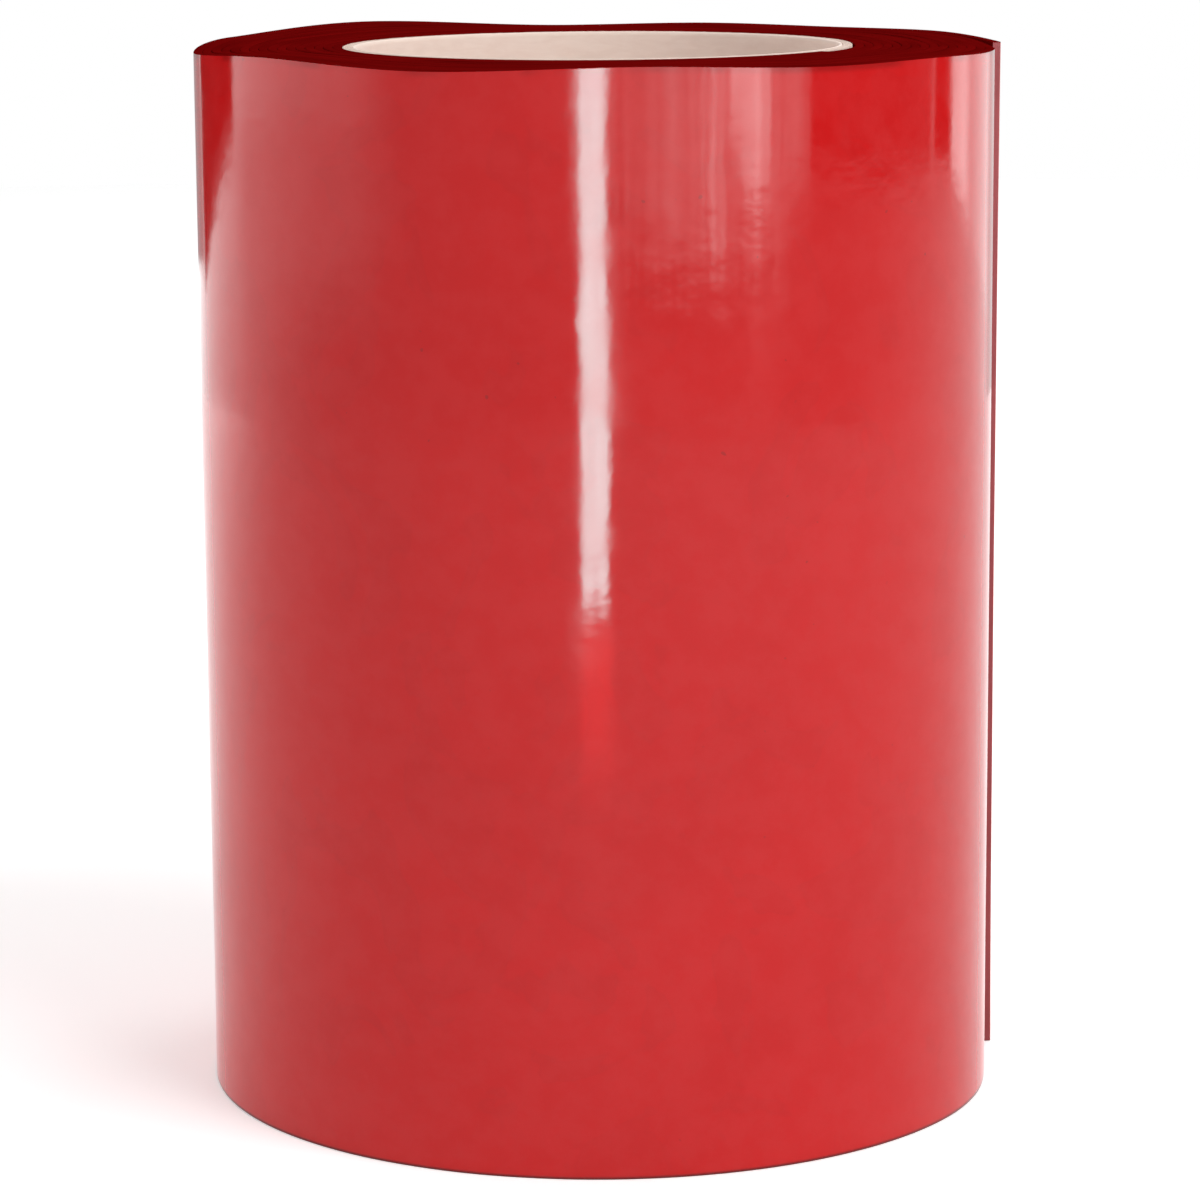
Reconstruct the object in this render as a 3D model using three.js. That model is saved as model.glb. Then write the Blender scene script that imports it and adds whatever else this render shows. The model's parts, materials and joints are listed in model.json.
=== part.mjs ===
// Roll of flexible red vinyl sheet, standing on its end on a paperboard core.
//
// Millimetres, +Z up. The Z axis is the roll's axis, and z = 0 is the end that the roll stands on.
// Angles are in degrees, counter-clockwise from +X as seen from above, and the front is at 270.
//
// The sheet (the web) starts against the core at the taped edge and winds outwards, clockwise as
// seen from above. Each wrap lies true to the core for most of a turn and then climbs one layer
// over a short ramp, because it has to step over the web's own starting edge. The last 160 degrees
// of the web, up to its free cut edge, are a chain of narrow panels hinged along their outer
// edges, so the free end can be peeled off the roll and straightened. The free edge itself springs
// a little way off the roll.

import * as THREE from "three";

// Driving dimensions of the web.
const WEB_WIDTH = 300;
const WEB_THICKNESS = 2.5;
const LAYER_GAP = 0.1;
const FULL_WRAPS = 15;

// Driving dimensions of the core and of the tape that holds the web's starting edge.
const CORE_BORE = 138.6;
const CORE_OUTSIDE = 146;
const CORE_LENGTH = 301;
const LINER_THICKNESS = 0.6;
const LINER_GAP = 0.3;
const TAPE_THICKNESS = 0.3;
const TAPE_WIDTH_STEPS = 4;
const TAPE_GAP = 0.1;
const TAPE_END_MARGIN = 4;
const CORE_SEGMENTS = 72;

// The web is faceted in equal angular steps, and every wrap has its facets at the same angles.
const STEPS_PER_TURN = 36;
const RAMP_STEPS = 4;
const FREE_EDGE_ANGLE = 8;
const PANEL_COUNT = 16;
const PANEL_GAP = 0.3;

// The last stretch of the web springs away from the roll, most of all at its free edge.
const END_LIFT = 2.6;
const LIFT_STEPS = 4;

// Derived sizes. Flats lie closer to the axis than their corners, by this factor.
const STEP_ANGLE = 360 / STEPS_PER_TURN;
const CORNER_PER_FLAT = 1 / Math.cos(Math.PI / STEPS_PER_TURN);
const CORE_RADIUS = CORE_OUTSIDE / 2;
const TAPE_FLAT_RADIUS = CORE_RADIUS + TAPE_GAP;
const WEB_START_FLAT_RADIUS = TAPE_FLAT_RADIUS + TAPE_THICKNESS + TAPE_GAP;
const WEB_START_RADIUS = WEB_START_FLAT_RADIUS * CORNER_PER_FLAT;
const LAYER_PITCH = WEB_THICKNESS + LAYER_GAP;
const WEB_STEPS = (FULL_WRAPS + 1) * STEPS_PER_TURN - RAMP_STEPS;
const WOUND_STEPS = WEB_STEPS - PANEL_COUNT;

const VINYL = {
  color: 0xc01f22,
  roughness: 0.12,
  metalness: 0,
};
const PAPERBOARD = {
  color: 0xd9c4ae,
  roughness: 0.85,
  metalness: 0,
};
const LINER_PAPER = {
  color: 0xeaddcd,
  roughness: 0.7,
  metalness: 0,
};
const TAPE_FILM = {
  color: 0xd8c48a,
  roughness: 0.4,
  metalness: 0,
};

function polar(radius, degrees) {
  const angle = THREE.MathUtils.degToRad(degrees);
  return new THREE.Vector2(radius * Math.cos(angle), radius * Math.sin(angle));
}

// How far the sprung end of the web stands off, a number of steps from the web's starting edge.
function endLift(step) {
  const share = Math.max(0, step - WEB_STEPS + LIFT_STEPS) / LIFT_STEPS;
  return END_LIFT * share * share;
}

// How far the web's inner face is from the axis, a number of steps from its starting edge.
function wrapRadius(step) {
  const wrap = Math.floor(step / STEPS_PER_TURN);
  const stepInWrap = step - wrap * STEPS_PER_TURN;
  const rampStart = STEPS_PER_TURN - RAMP_STEPS;
  const climb = THREE.MathUtils.smoothstep(stepInWrap, rampStart, STEPS_PER_TURN);
  return WEB_START_RADIUS + LAYER_PITCH * (wrap + climb) + endLift(step);
}

// The web winds outwards as the angle falls, and reaches its free edge at FREE_EDGE_ANGLE.
function stepAngle(step) {
  return FREE_EDGE_ANGLE + (WEB_STEPS - step) * STEP_ANGLE;
}

// The angle that a short length takes up along the web's outermost face.
function gapAngle(length) {
  const outerRadius = wrapRadius(WEB_STEPS) + WEB_THICKNESS;
  return THREE.MathUtils.radToDeg(length / outerRadius);
}

// A closed strip outline: out along the outer face and back along the inner face.
function stripOutline(stations, thickness) {
  const outer = stations.map((s) => polar(s.radius + thickness, s.angle));
  const inner = stations.map((s) => polar(s.radius, s.angle));
  return new THREE.Shape([...outer, ...inner.reverse()]);
}

function upright(shape, bottom, height) {
  const geometry = new THREE.ExtrudeGeometry(shape, { depth: height, bevelEnabled: false });
  geometry.translate(0, 0, bottom);
  return geometry;
}

function part(name, geometry, look) {
  const mesh = new THREE.Mesh(geometry, new THREE.MeshStandardMaterial(look));
  mesh.name = name;
  return mesh;
}

// A plain tube, square cut at both ends, turned from its closed wall section.
function tube(innerRadius, outerRadius, length) {
  const wall = [
    new THREE.Vector2(innerRadius, 0),
    new THREE.Vector2(outerRadius, 0),
    new THREE.Vector2(outerRadius, length),
    new THREE.Vector2(innerRadius, length),
    new THREE.Vector2(innerRadius, 0),
  ];
  const geometry = new THREE.LatheGeometry(wall, CORE_SEGMENTS);
  geometry.rotateX(Math.PI / 2);
  return geometry;
}

// The board body of the core, and the smooth paper ply that lines its bore.
function core() {
  const linerRadius = CORE_BORE / 2;
  const boardRadius = linerRadius + LINER_THICKNESS + LINER_GAP;
  return [
    part("core_tube", tube(boardRadius, CORE_RADIUS, CORE_LENGTH), PAPERBOARD),
    part("core_liner", tube(linerRadius, linerRadius + LINER_THICKNESS, CORE_LENGTH), LINER_PAPER),
  ];
}

// The strip of double-sided tape under the web's starting edge.
function startTape() {
  const stations = [];
  for (let step = 0; step <= TAPE_WIDTH_STEPS; step++) {
    stations.push({ radius: TAPE_FLAT_RADIUS * CORNER_PER_FLAT, angle: stepAngle(step) });
  }
  const height = WEB_WIDTH - 2 * TAPE_END_MARGIN;
  const outline = stripOutline(stations, TAPE_THICKNESS * CORNER_PER_FLAT);
  return part("start_tape", upright(outline, TAPE_END_MARGIN, height), TAPE_FILM);
}

// All of the web that stays on the roll, as one spiral strip.
function woundWeb() {
  const stations = [];
  for (let step = 0; step < WOUND_STEPS; step++) {
    stations.push({ radius: wrapRadius(step), angle: stepAngle(step) });
  }
  const endAngle = stepAngle(WOUND_STEPS) + gapAngle(PANEL_GAP / 2);
  stations.push({ radius: wrapRadius(WOUND_STEPS), angle: endAngle });
  const outline = stripOutline(stations, WEB_THICKNESS);
  return part("web_wound", upright(outline, 0, WEB_WIDTH), VINYL);
}

// One panel of the web's free end. Panel 1 is next to the wound web, and the last has the free edge.
function freeEndPanel(number) {
  const startStep = WOUND_STEPS + number - 1;
  const isLast = number === PANEL_COUNT;
  const start = stepAngle(startStep) - gapAngle(PANEL_GAP / 2);
  const end = stepAngle(startStep + 1) + (isLast ? 0 : gapAngle(PANEL_GAP / 2));
  const stations = [
    { radius: wrapRadius(startStep), angle: start },
    { radius: wrapRadius(startStep + 1), angle: end },
  ];
  const label = String(number).padStart(2, "0");
  const outline = stripOutline(stations, WEB_THICKNESS);
  return part(`free_end_${label}`, upright(outline, 0, WEB_WIDTH), VINYL);
}

const group = new THREE.Group();
group.add(...core(), startTape(), woundWeb());
for (let number = 1; number <= PANEL_COUNT; number++) {
  group.add(freeEndPanel(number));
}

export default group;
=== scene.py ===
"""Looks for an upright roll of glossy red vinyl sheet wound on a paperboard core.

Everything is in metres, in the frame's axes: +Z is the roll's axis and the front is -Y. Angles are
in degrees, counter-clockwise from +X as seen from above. A place along the web is given in turns
from its starting edge at the core; the web winds outwards, and the angle falls as the turns rise.
"""

import json
import math

import bpy
import numpy as np
from mathutils import Matrix, Vector


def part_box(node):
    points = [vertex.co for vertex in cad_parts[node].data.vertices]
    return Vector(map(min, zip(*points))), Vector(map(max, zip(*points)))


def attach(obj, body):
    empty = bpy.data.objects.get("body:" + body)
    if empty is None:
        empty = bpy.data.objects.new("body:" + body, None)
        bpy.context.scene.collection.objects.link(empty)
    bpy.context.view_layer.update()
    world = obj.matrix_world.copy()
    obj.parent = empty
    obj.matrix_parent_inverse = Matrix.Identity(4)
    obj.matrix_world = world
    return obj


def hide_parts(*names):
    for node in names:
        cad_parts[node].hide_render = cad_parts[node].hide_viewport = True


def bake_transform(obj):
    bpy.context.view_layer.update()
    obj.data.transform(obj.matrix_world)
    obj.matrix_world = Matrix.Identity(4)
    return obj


MM = 0.001

# ---------------------------------------------------------------- frame and driving sizes

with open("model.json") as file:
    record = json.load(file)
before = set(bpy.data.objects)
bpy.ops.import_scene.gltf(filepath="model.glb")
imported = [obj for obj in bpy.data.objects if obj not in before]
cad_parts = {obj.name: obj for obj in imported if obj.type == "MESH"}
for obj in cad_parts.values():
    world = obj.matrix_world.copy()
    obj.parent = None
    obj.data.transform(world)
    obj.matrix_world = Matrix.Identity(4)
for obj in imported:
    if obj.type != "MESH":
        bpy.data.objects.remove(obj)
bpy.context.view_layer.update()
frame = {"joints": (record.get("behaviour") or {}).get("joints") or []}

hinges = [np.array(joint["pos_m"]) for joint in frame["joints"]]
hinge_angles = [math.degrees(math.atan2(h[1], h[0])) % 360 for h in hinges]
PANELS = len(hinges)
PANEL_ANGLE = hinge_angles[0] - hinge_angles[1]
FREE_EDGE_ANGLE = hinge_angles[0] - PANELS * PANEL_ANGLE
OUTER_RADIUS = float(np.hypot(hinges[0][0], hinges[0][1]))

WEB_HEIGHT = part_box("web_wound")[1][2]
CORE_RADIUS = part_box("core_tube")[1][0]
# The core's upper end stands a little higher than its CAD solid, and dips towards the back.
CORE_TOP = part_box("core_tube")[1][2] + 0.5 * MM
CORE_DIP = 0.16 * MM
CAD_LINER_WALL = 0.6 * MM
BORE_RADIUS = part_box("core_liner")[1][0] - CAD_LINER_WALL
LINER_WALL = 0.85 * MM

FULL_WRAPS = 15
RAMP_TURNS = 40 / 360
TOTAL_TURNS = FULL_WRAPS + 1 - RAMP_TURNS
TAPE_WALL = 0.12 * MM
TAPE_TURNS = 36 / 360
HAIRLINE = 0.06 * MM
START_RADIUS = CORE_RADIUS + TAPE_WALL
WEB_PITCH = (OUTER_RADIUS - START_RADIUS + HAIRLINE) / (FULL_WRAPS + 1)
WEB_THICKNESS = WEB_PITCH - HAIRLINE

# The corners of the strip's section, rounded in steps of some degrees.
EDGE_ROUND = 0.2 * MM
ROUND_BENDS = (30, 60, 90)
# Beside the slit edges the faces are as matt as the edges, where they would glint between wraps.
RIM_DEPTH = 1.6 * MM

# The free end lies slack on the wrap below it, and springs off towards its cut edge: by this share
# of the lift in the middle of its height, and by this much more at its slit edges.
END_SLACK = 0.14 * MM
END_LIFT = 2.6 * MM
LIFT_TURNS = 40 / 360
MIDDLE_CURL = 0.98
EDGE_CURL = 0.14
# The outermost stretch, of which some or all is in plain view at one pose or another.
BARED_TURNS = 1.47

# The room that the gloss reflects. Bearings are from the front, positive to the right.
ROOM_DISTANCE = 1.5
STRIP_DISTANCE = 0.71
GLINT_DISTANCE = 0.40
STRIP_LEFT, STRIP_RIGHT, STRIP_SOFT = -5.0, 2.2, 6.0
STRIP_FOOT = 0.05
STRIP_GLOW = 25.0
GLOSS_GAIN = 1.08

# The studio's soft lights: place, size across and power in watts.
LIGHTS = {
    "key": ((1.45, -1.3, 2.05), 1.8, 48),
    "fill": ((-1.4, -0.9, 1.5), 1.4, 4),
    "back_left": ((-1.6, 1.3, 0.4), 1.0, 17),
    "back_right": ((1.5, 1.5, 1.9), 1.6, 14),
}
WORLD_GLOW = 0.43
# The floor lies just below the roll's foot, so that the two faces don't share one plane.
FLOOR_LEVEL = -0.1 * MM

# Each patch: start and end bearing, foot height at each, softness of sides and foot, brightness.
ROOM = [
    # Haze at the left, brighter above.
    (-190, -116, (0.07, 0.07), 14, 0.13, 1.9),
    (-112, -62, (0.06, 0.09), 22, 0.10, 1.7),
    (-122, -66, (0.184, 0.188), 14, 0.03, 2.3),
    # A window at the front right, and its brightest panes.
    (3, 37, (0.11, 0.11), 3, 0.06, 2.1),
    (13, 38, (0.11, 0.11), 8, 0.06, 3.5),
    (27, 38, (0.12, 0.11), 6, 0.06, 5.0),
    (35, 51, (0.10, 0.09), 6, 0.03, 2.4),
    (35, 47, (0.175, 0.145), 2.5, 0.02, 9.0),
    (38, 48, (0.145, 0.135), 3, 0.03, 9.0),
    (47, 58.5, (0.14, 0.14), 3, 0.04, 3.0),
    # Dark corners at the right, and the wall behind them.
    (59, 104, (0.150, 0.147), 2.5, 0.012, 0.3),
    (106, 114, (0.153, 0.153), 2, 0.01, 0.06),
    (115, 129, (0.147, 0.112), 1.5, 0.012, 3.8),
    (126, 152, (0.115, 0.05), 8, 0.03, 1.7),
    (152, 190, (-0.1, -0.1), 8, 0.03, 0.8),
    # A dark corner at the left, and the wall behind it.
    (-150, -121, (0.07, 0.17), 2, 0.02, 0.03),
    (-190, -150, (0.078, 0.085), 5, 0.012, 0.4),
]

# The web's stations: fine over its last turns, and coarse where it is buried.
FINE_TURNS = 2
FINE_STEP = 1 / 360
COARSE_STEP = 3 / 360

# How far the outermost wrap's upper edge stands above its nominal height, in millimetres, at
# angles round it. The wraps against the core all stand equally high.
RISE = [
    (0, 0.2), (30, 1.9), (52, 1.4), (72, 1.8), (95, 1.0), (130, 4.0), (160, 2.2),
    (185, 0.7), (218, 3.0), (247, 0.6), (276, 2.3), (303, 1.0), (322, 1.45), (345, 0.8),
]
INNER_RISE = 1.45 * MM
# How unevenly the wraps lie at the upper end, and how far the outer wraps leave a true round:
# in upright flutes, and in broad swells.
WRAP_SHIFT = 0.1 * MM
FLUTE_DEPTH = 0.03 * MM
SWELL_DEPTH = 0.06 * MM


def smooth(x):
    x = np.clip(x, 0, 1)
    return x * x * (3 - 2 * x)


def wander(x, seed, count, low, high):
    """A slow wander of about -1 to 1: a sum of sines with seeded rates and phases."""
    rng = np.random.default_rng(seed)
    rates = rng.uniform(low, high, count)
    phases = rng.uniform(0, 2 * math.pi, count)
    return sum(np.sin(2 * math.pi * r * x + p) for r, p in zip(rates, phases)) / math.sqrt(count)


def wander_round(laps, seed, count, low, high):
    """The same round the roll: whole numbers of waves, so that it closes on itself."""
    rng = np.random.default_rng(seed)
    rates = rng.integers(low, high + 1, count)
    phases = rng.uniform(0, 2 * math.pi, count)
    return sum(np.sin(2 * math.pi * r * laps + p) for r, p in zip(rates, phases)) / math.sqrt(count)


# ---------------------------------------------------------------- mesh helpers


def mesh_piece(name, points, faces, face_slots, materials, uvs=None, normals=None):
    """A smooth-shaded mesh object. uvs and normals have one row for each corner of each face."""
    mesh = bpy.data.meshes.new(name)
    mesh.from_pydata(points.tolist(), [], faces)
    for material in materials:
        mesh.materials.append(material)
    mesh.polygons.foreach_set("material_index", np.array(face_slots, np.int32))
    mesh.polygons.foreach_set("use_smooth", np.ones(len(faces), bool))
    if uvs is not None:
        layer = mesh.uv_layers.new(name="along_and_up")
        layer.data.foreach_set("uv", np.asarray(uvs, np.float32).ravel())
    if normals is not None:
        mesh.normals_split_custom_set(normals.tolist())
    mesh.update()
    piece = bpy.data.objects.new(name, mesh)
    bpy.context.scene.collection.objects.link(piece)
    return piece


def unit(vectors):
    return vectors / np.maximum(np.linalg.norm(vectors, axis=-1, keepdims=True), 1e-12)


def grid_normals(points, closed):
    """Normals of a grid of points [i, j], where j runs round a closed section."""
    ahead = np.roll(points, -1, axis=0) - points
    behind = points - np.roll(points, 1, axis=0)
    if not closed:
        ahead[-1] = behind[-1]
        behind[0] = ahead[0]
    along = unit(unit(ahead) + unit(behind))
    up = np.roll(points, -1, axis=1) - points
    down = points - np.roll(points, 1, axis=1)
    return unit(np.cross(unit(unit(up) + unit(down)), along))


# ---------------------------------------------------------------- the web's path


def rise_at(degrees):
    """The outermost wrap's rise at an angle, eased from each stated place to the next."""
    angles = np.array([a for a, _ in RISE] + [360 + RISE[0][0]], float)
    heights = np.array([h for _, h in RISE] + [RISE[0][1]], float) * MM
    at = np.mod(degrees, 360)
    i = np.clip(np.searchsorted(angles, at, side="right") - 1, 0, len(RISE) - 1)
    share = smooth((at - angles[i]) / (angles[i + 1] - angles[i]))
    return heights[i] + (heights[i + 1] - heights[i]) * share


def angle_at(turns):
    return FREE_EDGE_ANGLE + 360 * (TOTAL_TURNS - turns)


def turns_at_root(panels_from_root):
    """How far along the web a number of panel widths past the root hinge is."""
    return TOTAL_TURNS - (PANELS - panels_from_root) * PANEL_ANGLE / 360


def inner_radius_at(turns):
    """The web's inner face: true to the core, with one layer climbed at the end of each wrap."""
    wrap = np.floor(turns + 1e-9)
    climb = smooth((turns - wrap - 1 + RAMP_TURNS) / RAMP_TURNS)
    return START_RADIUS + WEB_PITCH * (wrap + climb)


def end_lift(turns):
    """How far the web's free end stands off: slack from its root on, and sprung at its edge."""
    slack = END_SLACK * smooth((turns - turns_at_root(-1.5)) * 360 / PANEL_ANGLE)
    share = np.maximum(0, turns - TOTAL_TURNS + LIFT_TURNS) / LIFT_TURNS
    return slack + END_LIFT * share**2


def web_stations():
    """Places along the whole web: coarse where it is buried, fine on the outer wraps."""
    start_fine = math.floor((TOTAL_TURNS - FINE_TURNS) / COARSE_STEP) * COARSE_STEP
    coarse = np.arange(0, start_fine - COARSE_STEP / 2, COARSE_STEP)
    count = math.ceil((TOTAL_TURNS - start_fine) / FINE_STEP)
    fine = TOTAL_TURNS - FINE_STEP * np.arange(count, 0, -1)
    rounding = EDGE_ROUND / (2 * math.pi * OUTER_RADIUS)
    return np.concatenate([coarse, fine, [TOTAL_TURNS - rounding, TOTAL_TURNS]])


def web_section():
    """A closed section of the strip, as [share of the thickness, height], and its face levels.

    It runs up the outer face, over the upper edge, down the inner face and over the lower edge.
    The levels crowd towards both slit edges.
    """
    top, r = WEB_HEIGHT, EDGE_ROUND
    inset = [r, 0.6 * MM, 1.5 * MM, 4 * MM, 9 * MM, 18 * MM]
    middle = list(np.linspace(30 * MM, top - 30 * MM, 13))
    levels = inset + middle + [top - z for z in reversed(inset)]
    bends = [math.radians(a) for a in ROUND_BENDS]
    across = [(1 - math.cos(a)) * r / WEB_THICKNESS for a in bends]
    rise = [r * (1 - math.sin(a)) for a in bends]
    rounded = list(zip(across, rise))
    section = [(1, z) for z in levels]
    section += [(1 - c, top - h) for c, h in rounded]
    section += [(c, top - h) for c, h in reversed(rounded)]
    section += [(0, z) for z in reversed(levels)]
    section += [(c, h) for c, h in rounded]
    section += [(1 - c, h) for c, h in reversed(rounded)]
    return np.array(section), len(levels)


def web_points(turns, section):
    """Every point of the strip, as a grid of stations by section points."""
    angle = angle_at(turns)
    radians = np.radians(angle)
    lap = np.mod(angle / 360, 1)
    inner = inner_radius_at(turns)
    outward = np.clip((inner - START_RADIUS) / (OUTER_RADIUS - START_RADIUS), 0, 1) ** 1.5

    share = np.repeat(section[None, :, 0], len(turns), axis=0)
    level = np.repeat(section[None, :, 1] / WEB_HEIGHT, len(turns), axis=0)
    share[-1] = 0.5 + (share[-1] - 0.5) * (1 - 2 * EDGE_ROUND / WEB_THICKNESS)
    level[-1] = 0.5 + (level[-1] - 0.5) * (1 - 2 * EDGE_ROUND / WEB_HEIGHT)

    rise = INNER_RISE + (rise_at(angle) - INNER_RISE) * outward
    rise += WRAP_SHIFT * wander(turns, 3, 4, 1.5, 6.5) * smooth(turns / 2)
    height = (WEB_HEIGHT + rise)[:, None] * level

    fluting = wander_round(lap[:, None] + 0.015 * level, 5, 5, 7, 26)
    swell = wander(level, 9, 3, 1.0, 3.5) * wander_round(lap[:, None], 8, 3, 1, 4)
    bulge = (FLUTE_DEPTH * fluting + SWELL_DEPTH * swell) * outward[:, None]
    curl = MIDDLE_CURL + EDGE_CURL * (2 * level - 1) ** 2
    lift = end_lift(turns)[:, None] * curl
    radius = inner[:, None] + WEB_THICKNESS * share + bulge + lift
    across = radius * np.cos(radians)[:, None]
    back = radius * np.sin(radians)[:, None]
    return np.stack([across, back, height], axis=-1)


class Web:
    """The whole strip as one grid, which the pieces are cut from, so they meet exactly at rest."""

    def __init__(self):
        self.turns = web_stations()
        self.section, self.levels = web_section()
        self.points = web_points(self.turns, self.section)
        self.normals = grid_normals(self.points, closed=False)
        middle = self.points.mean(axis=1)
        steps = np.linalg.norm(np.diff(middle[:, :2], axis=0), axis=1)
        self.along = np.concatenate([[0], np.cumsum(steps)])
        self.outer_top = self.levels - 1
        self.inner_top = self.levels + 2 * len(ROUND_BENDS)
        self.inner_foot = self.inner_top + self.levels - 1
        place = np.arange(len(self.section))
        on_outer = place < self.outer_top
        on_inner = (place >= self.inner_top) & (place < self.inner_foot)
        middle_height = WEB_HEIGHT / 2
        self.on_rim = np.abs(self.section[:, 1] - middle_height) > middle_height - RIM_DEPTH
        self.on_face = on_outer | (on_inner & ~self.on_rim)
        self.buried = self.turns < TOTAL_TURNS - BARED_TURNS
        self.up = self.section[:, 1] + WEB_THICKNESS * self.section[:, 0]

    def station(self, turns):
        return int(np.argmin(np.abs(self.turns - turns)))

    def cut(self, name, first, last, materials):
        """The stretch of web between two stations, with a cap only where the web itself ends."""
        rows, count = last - first + 1, len(self.section)
        i, j = np.meshgrid(np.arange(rows - 1), np.arange(count), indexing="ij")
        i, j = i.ravel(), j.ravel()
        ahead = (j + 1) % count
        corners = [(i, j), (i, ahead), (i + 1, ahead), (i + 1, j)]
        quads = np.stack([a * count + b for a, b in corners], axis=1)
        stations = np.stack([a for a, _ in corners], axis=1) + first
        places = np.stack([b for _, b in corners], axis=1)
        faces = quads.tolist()
        hidden_rim = self.on_rim[j] & self.buried[i + first]
        slots = list(np.where(self.on_face[j] & ~hidden_rim, 0, 1))
        normals = self.normals[stations, places].reshape(-1, 3)
        uvs = np.stack([self.along[stations], self.up[places]], axis=-1).reshape(-1, 2)
        if first == 0:
            faces, slots, normals, uvs = self.capped(faces, slots, normals, uvs, first, 0, -1)
        if last == len(self.turns) - 1:
            faces, slots, normals, uvs = self.capped(faces, slots, normals, uvs, first, last, 1)
        points = self.points[first : last + 1].reshape(-1, 3)
        return mesh_piece(name, points, faces, slots, materials, uvs, normals)

    def capped(self, faces, slots, normals, uvs, first, row, way):
        """Closes the strip's section at one of its own cut ends."""
        count = len(self.section)
        outer_top, inner_top, inner_foot = self.outer_top, self.inner_top, self.inner_foot
        rungs = [[k, k + 1, inner_foot - k - 1, inner_foot - k] for k in range(outer_top)]
        top = list(range(outer_top, inner_top + 1))
        foot = list(range(inner_foot, count)) + [0]
        cap = [face[::way] for face in rungs + [top, foot]]
        order = np.concatenate([np.array(face) for face in cap])
        neighbour = row - way
        facing = unit((self.points[row] - self.points[neighbour]).mean(axis=0))
        base = (row - first) * count
        faces = faces + [[base + k for k in face] for face in cap]
        slots = slots + [2] * len(cap)
        normals = np.concatenate([normals, np.repeat(facing[None, :], len(order), axis=0)])
        across = self.section[order, 0] * WEB_THICKNESS
        uvs = np.concatenate([uvs, np.stack([across, self.section[order, 1]], axis=-1)])
        return faces, slots, normals, uvs


def build_web(materials):
    """The wound web, and the free end as one piece for each hinge and one for the cut edge."""
    web = Web()
    root = web.station(turns_at_root(-0.5))
    last = len(web.turns) - 1
    wound = web.cut("vinyl_wound", 0, root, materials)
    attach(wound, "roll")
    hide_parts("web_wound")

    first = root
    for number in range(1, PANELS + 2):
        is_tip = number == PANELS + 1
        end = last if is_tip else web.station(turns_at_root(number - 0.5))
        piece = web.cut(f"vinyl_end_{number:02d}", first, end, materials)
        body = f"end_{min(number, PANELS):02d}"
        if is_tip:
            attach(piece, body)
        else:
            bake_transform(piece)
        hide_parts(f"free_end_{min(number, PANELS):02d}")
        first = end


# ---------------------------------------------------------------- the core and the tape


def turned(name, section, laps, shift, material, body, node):
    """A closed section turned round the axis. shift moves each point, given lap and section."""
    section = np.array(section)
    lap = np.arange(laps) / laps
    radius = np.repeat(section[None, :, 0], laps, axis=0)
    height = np.repeat(section[None, :, 1], laps, axis=0)
    radius, height = shift(lap[:, None], radius, height)
    radians = -2 * math.pi * lap[:, None]
    points = np.stack([radius * np.cos(radians), radius * np.sin(radians), height], axis=-1)
    normals = grid_normals(points, closed=True)
    count = len(section)
    i, j = np.meshgrid(np.arange(laps), np.arange(count), indexing="ij")
    i, j = i.ravel(), j.ravel()
    across, ahead = (i + 1) % laps, (j + 1) % count
    corners = [(i, j), (i, ahead), (across, ahead), (across, j)]
    faces = np.stack([a * count + b for a, b in corners], axis=1).tolist()
    rows = np.stack([a for a, _ in corners], axis=1)
    columns = np.stack([b for _, b in corners], axis=1)
    walk = np.concatenate([[0], np.cumsum(np.linalg.norm(np.diff(section, axis=0), axis=1))])
    circumference = 2 * math.pi * section[:, 0].mean()
    lap_uv = np.stack([i, i, i + 1, i + 1], axis=1) / laps * circumference
    uvs = np.stack([lap_uv, walk[columns]], axis=-1).reshape(-1, 2)
    corner_normals = normals[rows, columns].reshape(-1, 3)
    slots = [0] * len(faces)
    piece = mesh_piece(name, points.reshape(-1, 3), faces, slots, [material], uvs, corner_normals)
    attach(piece, body)
    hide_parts(node)


def tilted_end(lap, height):
    """The core's upper end is not quite square: it dips at the back."""
    fade_from, fade_over = CORE_TOP - 5 * MM, 4 * MM
    dip = CORE_DIP / 2 * (1 - np.sin(2 * math.pi * lap))
    return -dip * smooth((height - fade_from) / fade_over)


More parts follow.
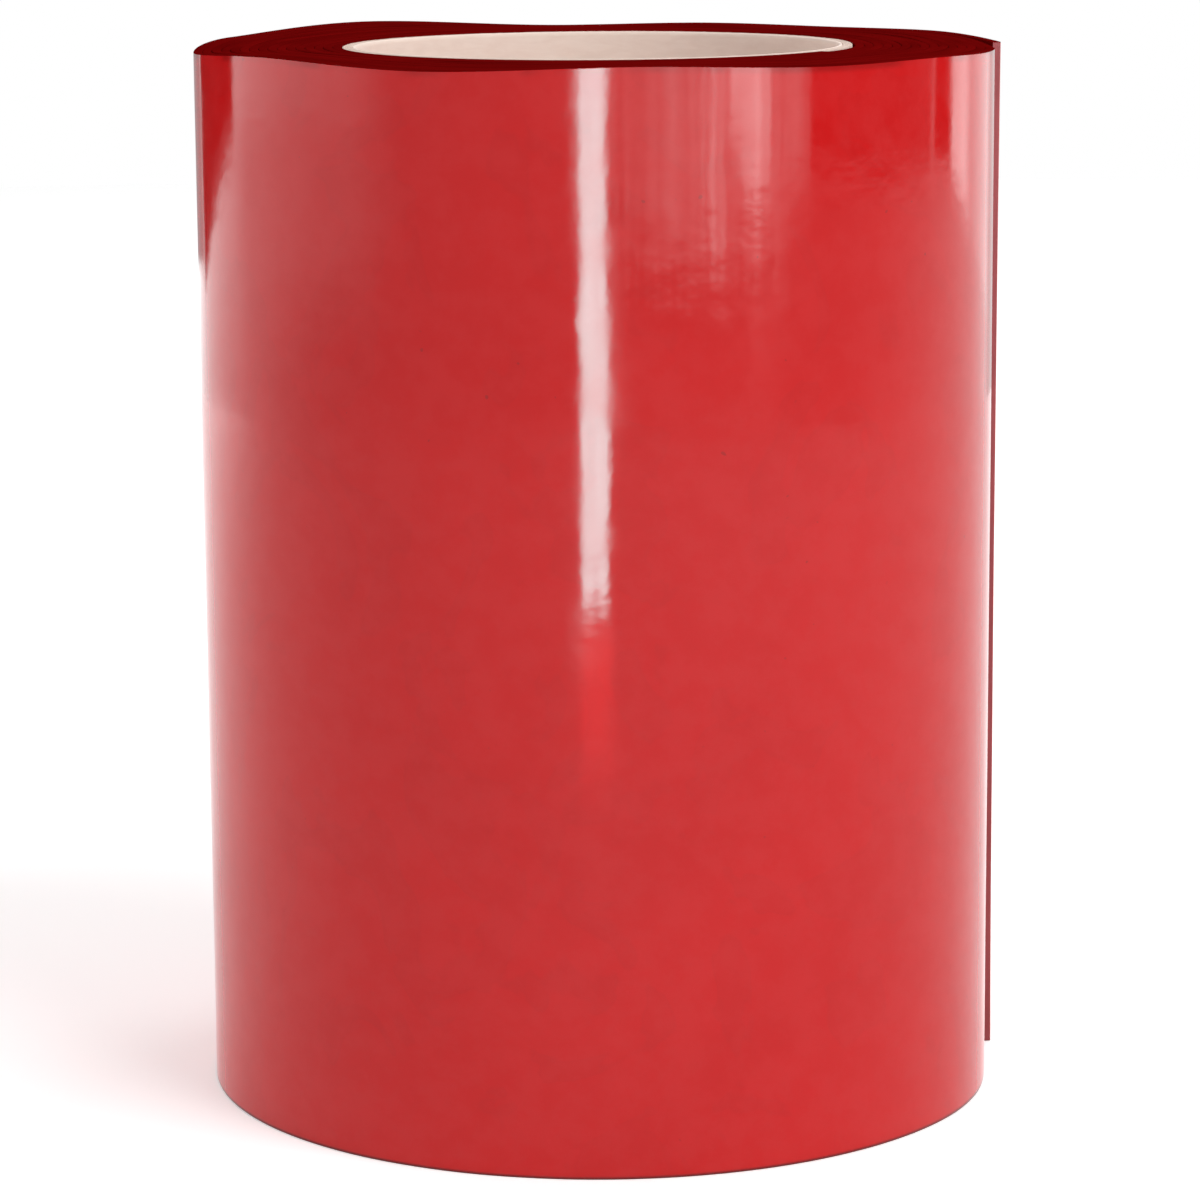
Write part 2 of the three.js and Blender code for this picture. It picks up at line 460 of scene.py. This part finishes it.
def build_core(board, paper):
    """The board tube and the paper ply that lines it, each with a trimmed, slightly rough end."""
    laps = 288
    plies = 4
    round_by = 0.25 * MM
    join = BORE_RADIUS + LINER_WALL
    middle = CORE_TOP / 2
    levels = list(np.linspace(2 * MM, CORE_TOP - 2 * MM, 40))
    ply_wall = (CORE_RADIUS - join) / plies
    # Each ply's cut end, from its outside inwards: share of its wall, and depth below the end.
    ply_end = [(0.1, 0.12 * MM), (0.3, 0), (0.7, 0), (0.92, 0.1 * MM)]
    rim = []
    for ply in range(plies):
        outer = CORE_RADIUS - ply * ply_wall
        rim += [(outer - share * ply_wall, drop) for share, drop in ply_end]
    section = [(CORE_RADIUS, z) for z in [round_by] + levels + [CORE_TOP - round_by]]
    section += [(r, CORE_TOP - drop) for r, drop in rim]
    section += [(join, z) for z in [CORE_TOP - round_by] + levels[::-1] + [round_by]]
    section += [(r, drop) for r, drop in reversed(rim)]

    rough_depth, chatter_depth = 1 * MM, 0.05 * MM

    def rough_end(lap, radius, height):
        """The saw's chatter on both cut ends, which only takes board away."""
        near_end = smooth((np.abs(height - middle) - middle + rough_depth) / rough_depth)
        chatter = chatter_depth * wander_round(lap + 2 * radius, 21, 6, 20, 90)
        height = height - near_end * np.abs(chatter) * np.sign(height - middle)
        return radius, np.maximum(height, 0) + tilted_end(lap, height)

    turned("core_board", section, laps, rough_end, board, "roll", "core_tube")

    inner = BORE_RADIUS
    outer = join - 0.04 * MM
    bevel = 0.2 * MM
    lining = [(outer, z) for z in [round_by] + levels + [CORE_TOP - round_by]]
    lining += [(join - bevel, CORE_TOP), (inner + bevel, CORE_TOP)]
    fine = list(np.linspace(1.2 * MM, CORE_TOP - 1.2 * MM, 150))
    lining += [(inner, z) for z in [CORE_TOP - round_by] + fine[::-1] + [round_by]]
    lining += [(inner + bevel, 0), (join - bevel, 0)]
    seam_rise, seam_step = 160 * MM, 0.14 * MM
    edge_share, overlap_share = 0.004, 0.03

    def spiral_seam(lap, radius, height):
        """One seam that climbs the bore: a small step inwards, eased out over the whole turn."""
        phase = np.mod(lap - height / seam_rise, 1)
        fade = 1 - smooth((phase - overlap_share) / (1 - overlap_share))
        inwards = seam_step * smooth(phase / edge_share) * fade
        on_bore = radius < inner + bevel / 4
        return radius - np.where(on_bore, inwards, 0), height + tilted_end(lap, height)

    turned("core_lining", lining, laps, spiral_seam, paper, "roll", "core_liner")


def build_tape(material):
    """The double-sided tape between the core and the web's starting edge."""
    steps = 24
    overhang_turns = 0.02
    end_margin = 3 * MM
    turns = np.linspace(-overhang_turns, TAPE_TURNS, steps)
    radians = np.radians(angle_at(turns))
    low, high = end_margin, WEB_HEIGHT - end_margin
    inner, outer = CORE_RADIUS + 0.02 * MM, CORE_RADIUS + 0.1 * MM
    section = [(outer, low), (outer, high), (inner, high), (inner, low)]
    points = [
        (radius * math.cos(a), radius * math.sin(a), z) for a in radians for radius, z in section
    ]
    faces = []
    for i in range(steps - 1):
        for j in range(4):
            ahead = (j + 1) % 4
            faces.append([4 * i + j, 4 * i + ahead, 4 * (i + 1) + ahead, 4 * (i + 1) + j])
    faces += [[3, 2, 1, 0], [4 * steps - 4, 4 * steps - 3, 4 * steps - 2, 4 * steps - 1]]
    piece = mesh_piece("edge_tape", np.array(points), faces, [0] * len(faces), [material])
    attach(piece, "roll")
    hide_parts("start_tape")


# ---------------------------------------------------------------- materials


# The Mix node's sockets in its colour mode: they share their names with its other modes.
MIX_SHARE, MIX_FIRST, MIX_SECOND, MIX_RESULT = 0, 6, 7, 2


class Nodes:
    """A material's node tree, with short ways to add and join nodes."""

    def __init__(self, name):
        self.material = bpy.data.materials.new(name)
        self.material.use_nodes = True
        self.tree = self.material.node_tree
        self.shader = self.tree.nodes["Principled BSDF"]

    def add(self, kind, settings=None, **inputs):
        node = self.tree.nodes.new(kind)
        for key, value in (settings or {}).items():
            setattr(node, key, value)
        for key, value in inputs.items():
            self.set(node, key.replace("_", " "), value)
        return node

    def set(self, node, key, value):
        socket = node.inputs[int(key)] if key.isdigit() else node.inputs[key]
        if isinstance(value, bpy.types.NodeSocket):
            self.tree.links.new(value, socket)
        else:
            socket.default_value = value

    def uv(self, scale):
        source = self.add("ShaderNodeTexCoord").outputs["UV"]
        return self.add("ShaderNodeMapping", Vector=source, Scale=scale).outputs["Vector"]

    def noise(self, vector, scale, detail=3.0, roughness=0.5, distortion=0.0):
        node = self.add(
            "ShaderNodeTexNoise",
            Vector=vector,
            Scale=scale,
            Detail=detail,
            Roughness=roughness,
            Distortion=distortion,
        )
        return node.outputs["Fac"]

    def span(self, value, low, high, to_low, to_high):
        """Eases a value's stretch from low to high into the one from to_low to to_high."""
        node = self.add("ShaderNodeMapRange", {"interpolation_type": "SMOOTHSTEP"}, Value=value)
        ends = {"From Min": low, "From Max": high, "To Min": to_low, "To Max": to_high}
        for key, number in ends.items():
            node.inputs[key].default_value = number
        return node.outputs["Result"]

    def blend_colours(self, share, first, second):
        node = self.add("ShaderNodeMix", {"data_type": "RGBA"})
        for index, value in ((MIX_SHARE, share), (MIX_FIRST, first), (MIX_SECOND, second)):
            self.set(node, str(index), value)
        return node.outputs[MIX_RESULT]

    def maths(self, operation, a, b):
        node = self.add("ShaderNodeMath", {"operation": operation})
        self.set(node, "0", a)
        self.set(node, "1", b)
        return node.outputs[0]

    def bump(self, height, distance, normal=None):
        node = self.add("ShaderNodeBump", Height=height, Distance=distance, Strength=1.0)
        if normal is not None:
            self.set(node, "Normal", normal)
        return node.outputs["Normal"]

    def finish(self, **inputs):
        for key, value in inputs.items():
            self.set(self.shader, key.replace("_", " "), value)
        return self.material


def rgb(r, g, b):
    return (r, g, b, 1.0)


def vinyl_face():
    """Glossy red sheet: haze, smudges, clinging patches, dust, small dents and rolling marks."""
    n = Nodes("vinyl_face")
    flat = n.uv((1, 1, 1))
    cloud = n.noise(flat, 9.0, detail=4.0, distortion=0.6)
    red = n.blend_colours(
        n.span(cloud, 0.35, 0.65, 0, 1), rgb(0.465, 0.0026, 0.0031), rgb(0.488, 0.0032, 0.0038)
    )
    cling = n.noise(n.uv((1, 0.8, 1)), 24.0, detail=3.0, distortion=1.6)
    clinging = n.span(cling, 0.54, 0.56, 0, 0.45)
    rim = n.maths("MULTIPLY", n.span(cling, 0.53, 0.55, 0, 1), n.span(cling, 0.555, 0.58, 0.2, 0))
    red = n.blend_colours(clinging, red, rgb(0.445, 0.0045, 0.0050))
    red = n.blend_colours(rim, red, rgb(0.41, 0.0040, 0.0045))
    haze = n.noise(flat, 90.0, detail=5.0, roughness=0.65)
    red = n.blend_colours(n.span(haze, 0.38, 0.62, 0, 0.3), red, rgb(0.500, 0.0160, 0.0172))
    specks = n.maths(
        "MULTIPLY",
        n.span(n.noise(flat, 330.0, detail=1.0), 0.76, 0.79, 0, 1),
        n.span(n.noise(flat, 21.0, detail=1.0), 0.5, 0.6, 0, 0.6),
    )
    red = n.blend_colours(specks, red, rgb(0.20, 0.010, 0.010))

    # The outer face is painted darker at its slit edges: patches of painted shade below its upper
    # edge, and a band of painted shade along its foot. Its map's height starts at the sheet's
    # thickness.
    up = n.add("ShaderNodeSeparateXYZ", Vector=flat).outputs["Y"]
    foot, upper_edge = WEB_THICKNESS, WEB_HEIGHT + WEB_THICKNESS
    # Painted shade: patches of darker red just below the upper slit edge.
    near_edge = n.span(up, upper_edge - 2.4 * MM, upper_edge - 0.6 * MM, 0, 1)
    shade_patches = n.span(n.noise(n.uv((1, 0.2, 1)), 40.0, detail=3.0), 0.42, 0.62, 0.1, 0.75)
    red = n.blend_colours(n.maths("MULTIPLY", near_edge, shade_patches), red, rgb(0.26, 0.002, 0.002))
    # Painted shade: a dark band along the sheet's foot, where it stands on the floor.
    near_foot = n.span(up, foot + 0.3 * MM, foot + 1.1 * MM, 0.9, 0)
    red = n.blend_colours(near_foot, red, rgb(0.11, 0.004, 0.004))

    smudge = n.noise(flat, 34.0, detail=5.0, roughness=0.62, distortion=0.8)
    roughness = n.span(smudge, 0.35, 0.65, 0.055, 0.115)
    marks = n.noise(n.uv((1.5, 160, 1)), 1.0, detail=2.0)
    dents = n.noise(n.uv((1.2, 0.8, 1)), 26.0, detail=1.0)
    dimples = n.noise(flat, 85.0, detail=3.0, roughness=0.45)
    peel = n.noise(flat, 420.0, detail=1.0)
    normal = n.bump(marks, 0.012 * MM)
    normal = n.bump(dents, 0.08 * MM, normal=normal)
    normal = n.bump(dimples, 0.07 * MM, normal=normal)
    normal = n.bump(peel, 0.004 * MM, normal=normal)
    n.shader.inputs["Specular IOR Level"].default_value = 0.385
    return n.finish(Base_Color=red, Roughness=roughness, IOR=1.42, Normal=normal)


def vinyl_cut():
    """The web's two knife-cut ends: a little dusty, and painted lighter and paler than the slit
    edges of the same sheet, as painted light.
    """
    n = Nodes("vinyl_cut")
    cloud = n.noise(n.uv((8, 1, 1)), 30.0, detail=4.0)
    # Painted light: the cut ends' colour is a lighter, paler copy of the slit edges' colour.
    colour = n.blend_colours(
        n.span(cloud, 0.3, 0.7, 0, 1), rgb(0.21, 0.020, 0.024), rgb(0.27, 0.034, 0.040)
    )
    knife = n.noise(n.uv((40, 900, 1)), 1.0, detail=2.0)
    normal = n.bump(knife, 0.03 * MM)
    return n.finish(Base_Color=colour, Roughness=0.4, IOR=1.42, Normal=normal)


def vinyl_edge():
    """The slit edge: dark, because light sinks into the sheet, with fine scoring along it."""
    n = Nodes("vinyl_edge")
    cloud = n.noise(n.uv((1, 1, 1)), 22.0, detail=4.0)
    colour = n.blend_colours(
        n.span(cloud, 0.3, 0.7, 0, 1), rgb(0.115, 0.0012, 0.0013), rgb(0.150, 0.0018, 0.0019)
    )
    scoring = n.noise(n.uv((6, 2600, 1)), 1.0, detail=2.0)
    nicks = n.noise(n.uv((1, 1, 1)), 420.0, detail=2.0)
    normal = n.bump(scoring, 0.03 * MM)
    normal = n.bump(nicks, 0.03 * MM, normal=normal)
    n.shader.inputs["Specular IOR Level"].default_value = 0.0
    return n.finish(Base_Color=colour, Roughness=0.5, IOR=1.5, Normal=normal)


def paperboard():
    """Grey-brown board: fibres, flecks and a slightly furry cut end."""
    n = Nodes("paperboard")
    fibres = n.noise(n.uv((240, 900, 1)), 1.0, detail=5.0, roughness=0.65, distortion=0.8)
    flecks = n.noise(n.uv((1, 1, 1)), 900.0, detail=2.0)
    tone = n.blend_colours(
        n.span(fibres, 0.3, 0.7, 0, 1), rgb(0.58, 0.43, 0.36), rgb(0.70, 0.55, 0.47)
    )
    colour = n.blend_colours(n.span(flecks, 0.66, 0.72, 0, 0.5), tone, rgb(0.36, 0.26, 0.20))
    normal = n.bump(fibres, 0.08 * MM)
    return n.finish(Base_Color=colour, Roughness=0.86, IOR=1.45, Normal=normal)


def liner_paper():
    """Smooth off-white paper with a faint long grain."""
    n = Nodes("liner_paper")
    fibres = n.noise(n.uv((130, 420, 1)), 1.0, detail=5.0, roughness=0.6, distortion=0.5)
    stain = n.noise(n.uv((1, 1, 1)), 24.0, detail=3.0)
    tone = n.blend_colours(
        n.span(fibres, 0.3, 0.7, 0, 1), rgb(0.83, 0.67, 0.59), rgb(0.87, 0.72, 0.64)
    )
    colour = n.blend_colours(n.span(stain, 0.5, 0.75, 0, 0.18), tone, rgb(0.76, 0.58, 0.50))
    normal = n.bump(fibres, 0.03 * MM)
    return n.finish(Base_Color=colour, Roughness=0.72, IOR=1.45, Normal=normal)


def tape_film():
    """Honey-coloured adhesive film."""
    n = Nodes("tape_film")
    cloud = n.noise(n.uv((1, 1, 1)), 60.0, detail=3.0)
    colour = n.blend_colours(
        n.span(cloud, 0.3, 0.7, 0, 1), rgb(0.62, 0.47, 0.20), rgb(0.72, 0.58, 0.30)
    )
    return n.finish(Base_Color=colour, Roughness=0.4, IOR=1.45)


def floor_white():
    """Matt white floor with a painted glow: faint round the roll, where it lifts the shadow, and
    stronger far off, where it meets the white dome.
    """
    n = Nodes("floor_white")
    place = n.add("ShaderNodeTexCoord").outputs["Object"]
    cloud = n.noise(place, 1.5, detail=2.0)
    colour = n.blend_colours(cloud, rgb(0.92, 0.92, 0.92), rgb(0.94, 0.94, 0.94))
    away = n.add("ShaderNodeVectorMath", {"operation": "LENGTH"}, Vector=place).outputs["Value"]
    # Painted light: the floor's glow, weakest near the roll and strongest far from it.
    bright = n.span(away, 0.5, 2.2, 0.29, 0.46)
    return n.finish(Base_Color=colour, Roughness=0.9, IOR=1.3, Emission_Strength=bright)


def dome_white():
    """A plain white glow."""
    n = Nodes("dome_white")
    emission = n.add("ShaderNodeEmission", Strength=1.0)
    n.tree.links.new(emission.outputs[0], n.tree.nodes["Material Output"].inputs["Surface"])
    return n.material


# ---------------------------------------------------------------- studio


def swept(name, profile, material):
    """A profile turned round the axis, closed over its first ring."""
    laps = 96
    points = [
        (r * math.cos(2 * math.pi * k / laps), r * math.sin(2 * math.pi * k / laps), z)
        for r, z in profile
        for k in range(laps)
    ]
    faces = [list(range(laps))]
    for i in range(len(profile) - 1):
        for k in range(laps):
            ahead = (k + 1) % laps
            near, far = i * laps, (i + 1) * laps
            faces.append([near + k, far + k, far + ahead, near + ahead])
    return mesh_piece(name, np.array(points), faces, [0] * len(faces), [material])


def build_stage(floor_material, dome_material):
    """A round pale floor under a plain white dome, which is only looked at and lights nothing."""
    radius = 3.0
    rings = [(r, FLOOR_LEVEL) for r in (0.02, 0.6, 1.5, radius)]
    floor = swept("studio_floor", rings, floor_material)
    climbs = [math.radians(6 * step) for step in range(14, -1, -1)]
    arch = [(radius * math.cos(a), radius * math.sin(a) + FLOOR_LEVEL) for a in climbs]
    dome = swept("studio_dome", arch, dome_material)
    dome.visible_diffuse = False
    dome.visible_shadow = False


def patch(bearings, heights, start, end, foot, soft, soft_foot):
    """How much of a patch of the room shows: soft-edged, with a foot that may slope."""
    rise = (bearings - start) / (end - start)
    foot_line = foot[0] + (foot[1] - foot[0]) * np.clip(rise, 0, 1)
    sides = smooth((bearings - start) / soft + 0.5) * smooth((end - bearings) / soft + 0.5)
    return sides * smooth((heights - foot_line) / soft_foot + 0.5)


def room_glow(bearings, heights):
    """How bright the room is at a bearing from the front, and a height on the room's wall."""
    glow = 0.96 + 0.38 * smooth((np.abs(bearings) - 70) / 50)
    window_left, window_right = 0, 60
    streaks = 1 + 0.26 * wander(bearings / 40, 41, 6, 2, 16)
    ragged = 0.008 * wander(bearings / 40, 43, 5, 4, 20)
    for start, end, foot, soft, soft_foot, level in ROOM:
        in_window = window_left < start and end < window_right
        lifted = heights - ragged if in_window else heights
        share = patch(bearings, lifted, start, end, foot, soft, soft_foot)
        glow = glow + (level * (streaks if in_window else 1) - glow) * share
    return GLOSS_GAIN * glow


def gloss_only(name, points, faces, glow, tint, see_through=False):
    """A card that lights nothing and hides nothing, and only shows in the gloss."""
    n = Nodes(name)
    shade = n.add("ShaderNodeAttribute", {"attribute_name": "glow"}).outputs["Fac"]
    emission = n.add("ShaderNodeEmission", Color=tint, Strength=shade)
    clear = n.add("ShaderNodeBsdfTransparent")
    both = n.add("ShaderNodeAddShader")
    output = n.tree.nodes["Material Output"]
    n.tree.links.new(emission.outputs[0], both.inputs[0])
    n.tree.links.new(clear.outputs[0], both.inputs[1])
    surface = both if see_through else emission
    n.tree.links.new(surface.outputs[0], output.inputs["Surface"])
    piece = mesh_piece(name, points, faces, [0] * len(faces), [n.material])
    layer = piece.data.attributes.new("glow", "FLOAT", "POINT")
    layer.data.foreach_set("value", np.asarray(glow, np.float32))
    piece.visible_camera = False
    piece.visible_diffuse = False
    piece.visible_shadow = False


def standing_grid(bearings, heights, distance):
    """Points and faces of an upright card, from arrays of bearings and heights."""
    radians = np.radians(bearings)
    points = np.stack([distance * np.sin(radians), -distance * np.cos(radians), heights], axis=-1)
    rows, columns = bearings.shape
    faces = []
    for i in range(rows - 1):
        for j in range(columns - 1):
            k = columns * i + j
            faces.append([k, k + 1, k + columns + 1, k + columns])
    return points.reshape(-1, 3), faces


def build_room():
    """What the gloss reflects: the room all round."""
    bearings, heights = np.meshgrid(np.arange(-180, 180.5, 0.5), np.linspace(0, 0.6, 81))
    points, faces = standing_grid(bearings, heights, ROOM_DISTANCE)
    gloss_only("room", points, faces, room_glow(bearings, heights).ravel(), rgb(0.9, 1.0, 1.0))


def build_strip():
    """A bright strip light close to the front, with a ragged edge, a halo and a trailing foot."""
    across, heights = np.meshgrid(np.linspace(0, 1, 61), np.linspace(0.015, 0.40, 118))

    # The strip itself: wandering sides, streaks along it and a slanting foot.
    left = STRIP_LEFT + 0.24 * wander(heights, 31, 5, 4, 30)
    right = STRIP_RIGHT + 0.15 * wander(heights, 32, 4, 3, 18)
    bearings = left - STRIP_SOFT + across * (right - left + 2 * STRIP_SOFT)
    inside = smooth((bearings - left) / 1.9 + 0.33) * smooth((right - bearings) / 1.6 + 0.5)
    streaks = 1 + 0.10 * wander(bearings / 8, 34, 4, 1, 6) * wander(heights, 35, 4, 2, 14)
    slant = 0.0011 * (bearings - left) + 0.0022 * wander(bearings, 33, 4, 0.1, 0.5)
    above = smooth((heights - STRIP_FOOT + 0.004 - slant) / 0.013 + 0.5)

    # Its halo: at its right in the lower middle, and at its left high up.
    near_right = (bearings > right) * np.clip(1 - (bearings - right) / STRIP_SOFT, 0, 1) ** 2
    lit_heights = smooth((heights - 0.10) / 0.03) * smooth((0.20 - heights) / 0.03)
    halo = 3.6 * near_right * lit_heights * (0.7 + 0.4 * wander(heights, 36, 4, 8, 40))
    near_left = (bearings < left) * np.clip(1 - (left - bearings) / 3.4, 0, 1) ** 2
    halo += 6.5 * near_left * smooth((heights - 0.19) / 0.04)

    # The trail below its foot, which bends off to the left.
    beside = smooth((bearings + 10) / 4) * smooth(-bearings / 5)
    tail = 1.7 * beside * smooth((heights - 0.024) / 0.012) * smooth((0.056 - heights) / 0.012)

    glow = STRIP_GLOW * streaks * inside * above + np.maximum(halo, 0) + tail
    points, faces = standing_grid(bearings, heights, STRIP_DISTANCE)
    gloss_only("strip", points, faces, glow.ravel(), rgb(0.5, 1.0, 1.0), see_through=True)


def build_red_glint():
    """A faint red glow under the strip's foot, as if light from it came through the sheet."""
    bearings, heights = np.meshgrid(np.linspace(-7, 5, 31), np.linspace(0.020, 0.110, 37))
    sides = smooth((bearings + 5.6) / 2) * smooth((3.6 - bearings) / 2)
    glow = 6.8 * sides * smooth((heights - 0.026) / 0.052) * smooth((0.103 - heights) / 0.012)
    points, faces = standing_grid(bearings, heights, GLINT_DISTANCE)
    gloss_only("red_glint", points, faces, glow.ravel(), rgb(1.0, 0.02, 0.02), see_through=True)


def soft_light(name, place, aim, size, power):
    data = bpy.data.lights.new(name, "AREA")
    data.shape = "DISK"
    data.size = size
    data.energy = power
    light = bpy.data.objects.new(name, data)
    bpy.context.scene.collection.objects.link(light)
    light.location = place
    light.rotation_euler = (Vector(aim) - Vector(place)).to_track_quat("-Z", "Y").to_euler()
    light.visible_camera = False
    light.visible_glossy = False


def build_lights():
    world = bpy.data.worlds.new("studio")
    world.use_nodes = True
    background = world.node_tree.nodes["Background"]
    background.inputs["Color"].default_value = rgb(1.0, 1.0, 1.0)
    background.inputs["Strength"].default_value = WORLD_GLOW
    bpy.context.scene.world = world
    middle = (0, 0, WEB_HEIGHT / 2)
    for name, (place, size, power) in LIGHTS.items():
        soft_light(name, place, middle, size, power)


def build_camera():
    """The viewing angle: from a little above the top of the roll, looking slightly down."""
    distance, height = 1.25, 0.3726
    yaw, pitch, roll = (math.radians(a) for a in (-0.01, 10.56, -0.36))
    flat_share = math.cos(pitch)
    ahead = Vector((math.sin(yaw) * flat_share, math.cos(yaw) * flat_share, -math.sin(pitch)))
    level_right = Vector((math.cos(yaw), -math.sin(yaw), 0))
    level_up = level_right.cross(ahead)
    right = math.cos(roll) * level_right + math.sin(roll) * level_up
    up = right.cross(ahead)
    data = bpy.data.cameras.new("view")
    data.sensor_width = 36
    data.lens = 130.05
    data.clip_start = 0.05
    camera = bpy.data.objects.new("view", data)
    bpy.context.scene.collection.objects.link(camera)
    turn = Matrix((right, up, -ahead)).transposed().to_4x4()
    camera.matrix_world = Matrix.Translation((0, -distance, height)) @ turn
    bpy.context.scene.camera = camera


def main():
    build_camera()
    build_web([vinyl_face(), vinyl_edge(), vinyl_cut()])
    build_core(paperboard(), liner_paper())
    build_tape(tape_film())
    build_stage(floor_white(), dome_white())
    build_room()
    build_strip()
    build_red_glint()
    build_lights()
    bpy.context.scene.view_settings.view_transform = "Standard"


main()
